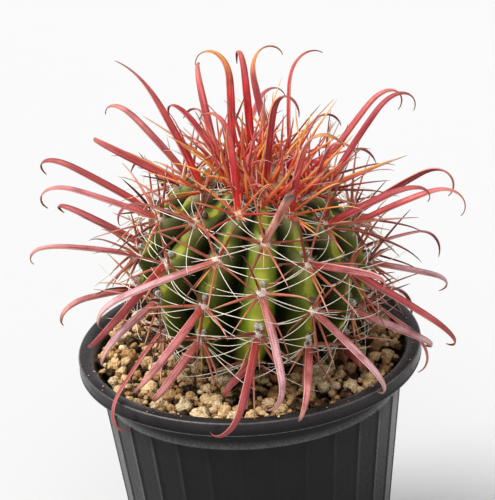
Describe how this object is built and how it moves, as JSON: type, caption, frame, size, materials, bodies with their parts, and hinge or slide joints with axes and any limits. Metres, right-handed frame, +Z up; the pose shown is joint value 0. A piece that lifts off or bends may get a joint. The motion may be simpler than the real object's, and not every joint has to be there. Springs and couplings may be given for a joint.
{
  "type": "potted barrel cactus",
  "caption": "Round ribbed cactus with long, flat, hooked spines, growing in a plain black plastic nursery pot topped with pumice gravel.",
  "frame": {"origin": "centre of the pot's flat underside", "axes": "+Z up along the pot's axis; the plant's front, with its broken spine, faces -Y; +X is to the right seen from the front"},
  "size_m": [0.1769, 0.1604, 0.2448],
  "materials": {
    "black_plastic": "satin",
    "potting_mix": "matte",
    "pumice": "matte",
    "stem_skin": "satin",
    "wool": "matte",
    "spine": "satin"
  },
  "bodies": {
    "root": {"nursery_pot": "black_plastic", "potting_mix": "potting_mix", "gravel": "pumice", "stem": "stem_skin", "crown_tuft": "wool", "areole_rib01_1": "spine", "areole_rib01_2": "spine", "areole_rib01_3": "spine", "areole_rib01_4": "spine", "areole_rib01_5": "spine", "areole_rib02_2": "spine", "areole_rib02_3": "spine", "areole_rib02_4": "spine", "areole_rib02_5": "spine", "areole_rib03_2": "spine", "areole_rib03_3": "spine", "areole_rib03_4": "spine", "areole_rib03_5": "spine", "areole_rib04_1": "spine", "areole_rib04_2": "spine", "areole_rib04_3": "spine", "areole_rib04_4": "spine", "areole_rib05_2": "spine", "areole_rib05_3": "spine", "areole_rib05_4": "spine", "areole_rib05_5": "spine", "areole_rib06_1": "spine", "areole_rib06_2": "spine", "areole_rib06_3": "spine", "areole_rib06_4": "spine", "areole_rib07_2": "spine", "areole_rib07_3": "spine", "areole_rib07_4": "spine", "areole_rib07_5": "spine", "areole_rib08_1": "spine", "areole_rib08_2": "spine", "areole_rib08_3": "spine", "areole_rib08_4": "spine", "areole_rib09_2": "spine", "areole_rib09_3": "spine", "areole_rib09_4": "spine", "areole_rib09_5": "spine", "areole_rib10_1": "spine", "areole_rib10_2": "spine", "areole_rib10_3": "spine", "areole_rib10_4": "spine", "areole_rib11_2": "spine", "areole_rib11_3": "spine", "areole_rib11_4": "spine", "areole_rib11_5": "spine", "areole_rib12_1": "spine", "areole_rib12_2": "spine", "areole_rib12_3": "spine", "areole_rib12_4": "spine", "areole_rib12_5": "spine", "areole_rib13_2": "spine", "areole_rib13_3": "spine", "areole_rib13_4": "spine", "areole_rib13_5": "spine"}
  },
  "joints": []
}
